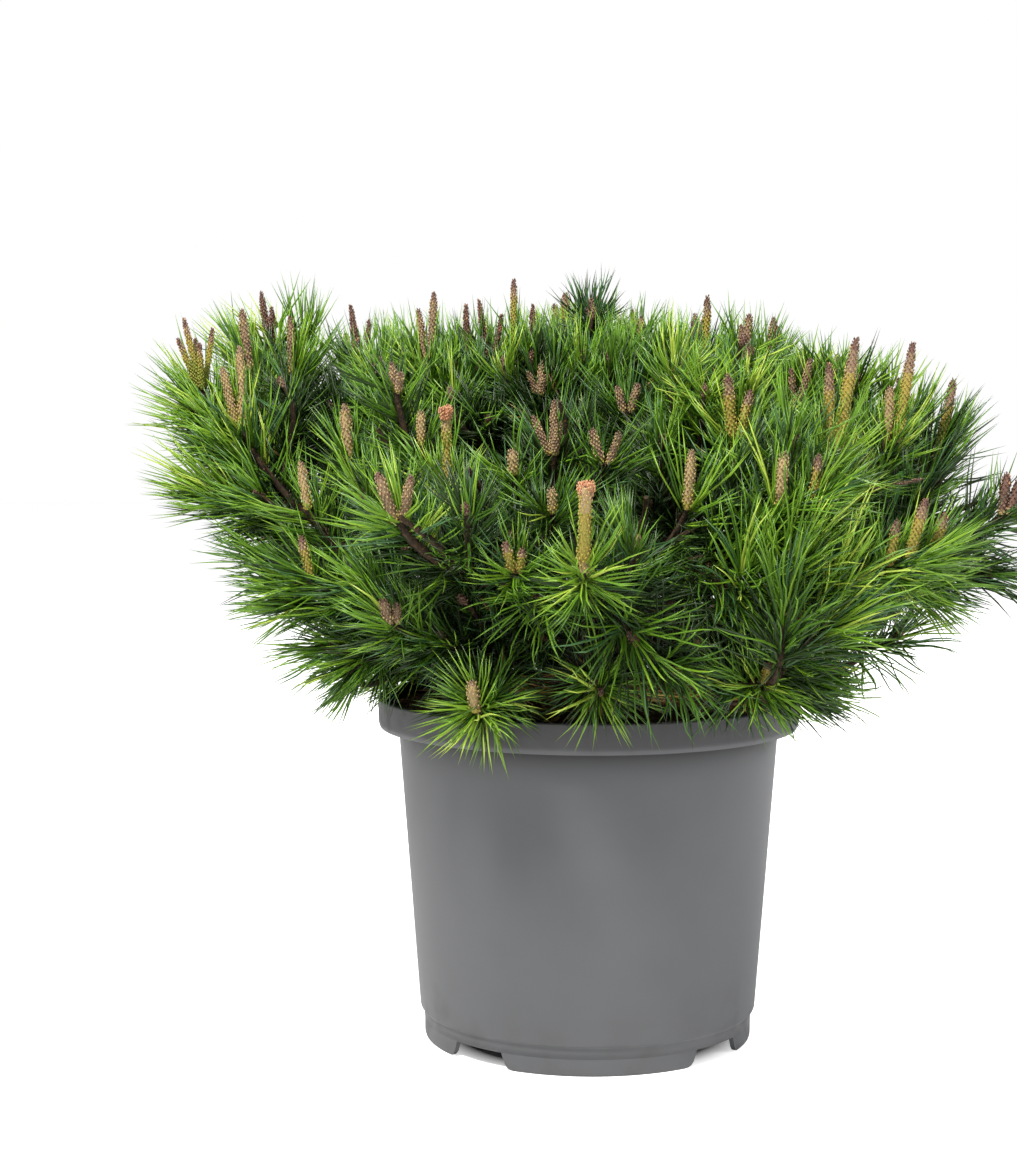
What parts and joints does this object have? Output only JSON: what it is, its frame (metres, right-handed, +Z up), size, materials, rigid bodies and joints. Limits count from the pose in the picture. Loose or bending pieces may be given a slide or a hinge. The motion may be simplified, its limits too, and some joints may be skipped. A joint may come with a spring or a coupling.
{
  "type": "mugo pine in a nursery pot",
  "caption": "Dwarf mugo pine with a wide bowl-shaped crown of long green needles and upright candle buds, growing in a round grey plastic nursery pot.",
  "frame": {"origin": "centre of the ring of feet under the pot, on the ground", "axes": "+Z up along the pot's axis, +X to the right of the crown's widest spread, -Y towards the front of the plant"},
  "size_m": [0.4692, 0.4553, 0.405],
  "materials": {
    "pot": "satin moulded plastic, mid grey",
    "soil": "moist peat and bark mix",
    "bark": "scaly grey-brown bark",
    "needles": "waxy green needles with pink-brown buds"
  },
  "bodies": {
    "root": {"pot_shell": "pot", "pot_foot_1": "pot", "pot_foot_2": "pot", "pot_foot_3": "pot", "pot_foot_4": "pot", "soil": "soil", "trunk": "bark", "bough_1": "bark", "bough_2": "bark", "bough_3": "bark", "bough_4": "bark", "bough_5": "bark", "bough_6": "bark", "bough_7": "bark", "bough_8": "bark", "bough_9": "bark", "bough_10": "bark", "skirt_1": "needles", "skirt_2": "needles", "skirt_3": "needles", "skirt_4": "needles", "skirt_5": "needles", "skirt_6": "needles", "skirt_7": "needles", "skirt_8": "needles", "skirt_9": "needles", "low_1": "needles", "low_2": "needles", "low_3": "needles", "low_4": "needles", "low_5": "needles", "low_6": "needles", "low_7": "needles", "low_8": "needles", "middle_1": "needles", "middle_2": "needles", "middle_3": "needles", "middle_4": "needles", "middle_5": "needles", "middle_6": "needles", "middle_7": "needles", "middle_8": "needles", "shoulder_1": "needles", "shoulder_2": "needles", "shoulder_3": "needles", "shoulder_4": "needles", "shoulder_5": "needles", "shoulder_6": "needles", "shoulder_7": "needles", "shoulder_8": "needles", "shoulder_9": "needles", "shoulder_10": "needles", "shoulder_11": "needles", "shoulder_12": "needles", "top_1": "needles", "top_2": "needles", "top_3": "needles", "top_4": "needles", "top_5": "needles", "heart": "needles"}
  },
  "joints": []
}
